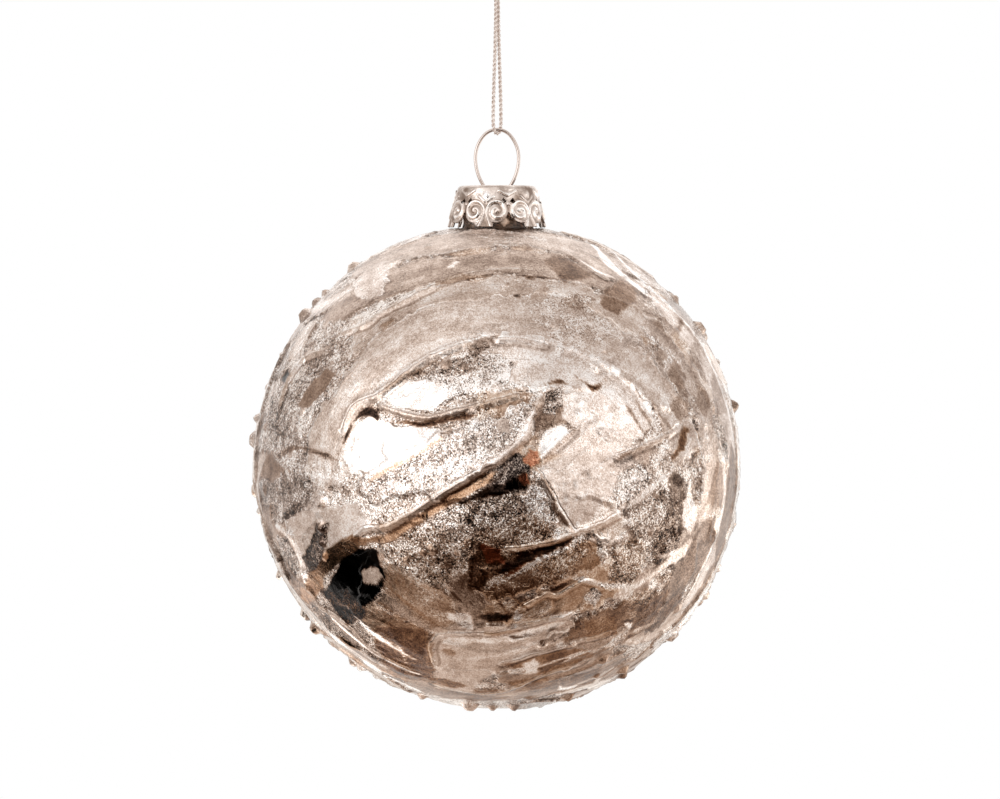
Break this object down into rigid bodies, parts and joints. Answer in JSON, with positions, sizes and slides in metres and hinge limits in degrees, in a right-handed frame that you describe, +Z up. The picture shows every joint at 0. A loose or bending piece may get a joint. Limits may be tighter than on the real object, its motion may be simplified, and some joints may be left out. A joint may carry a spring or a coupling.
{
  "type": "glass ball ornament",
  "caption": "Hanging glass ball with a trowelled champagne mirror relief, a pierced scroll cap, a wire ring and a twisted metallic thread loop.",
  "frame": {"origin": "on the axis of the hook or twig that the thread loop hangs on, inside the loop just under its knot", "axes": "+Z up, the way the ornament hangs; the ring lies in the XZ plane, and -Y is the front"},
  "size_m": [0.1008, 0.1005, 0.1695],
  "materials": {
    "clear_glass": "gloss",
    "mirror_relief": "polished",
    "cap_metal": "polished",
    "wire": "satin",
    "thread": "satin"
  },
  "bodies": {
    "cord": {"cord": "thread", "cord_knot": "thread"},
    "hanger": {"cap": "cap_metal", "wire_clip": "wire"},
    "ball": {"glass_ball": "clear_glass", "relief_coat": "mirror_relief"}
  },
  "joints": [
    {"name": "ring_swing", "type": "hinge", "parent": "cord", "child": "hanger", "pos_m": [0, 0, -0.039], "axis": [1, 0, 0], "range_deg": [-80, 80]},
    {"name": "cap_pull", "type": "slide", "parent": "hanger", "child": "ball", "axis": [0, 0, -1], "range_m": [0, 0.02]}
  ]
}
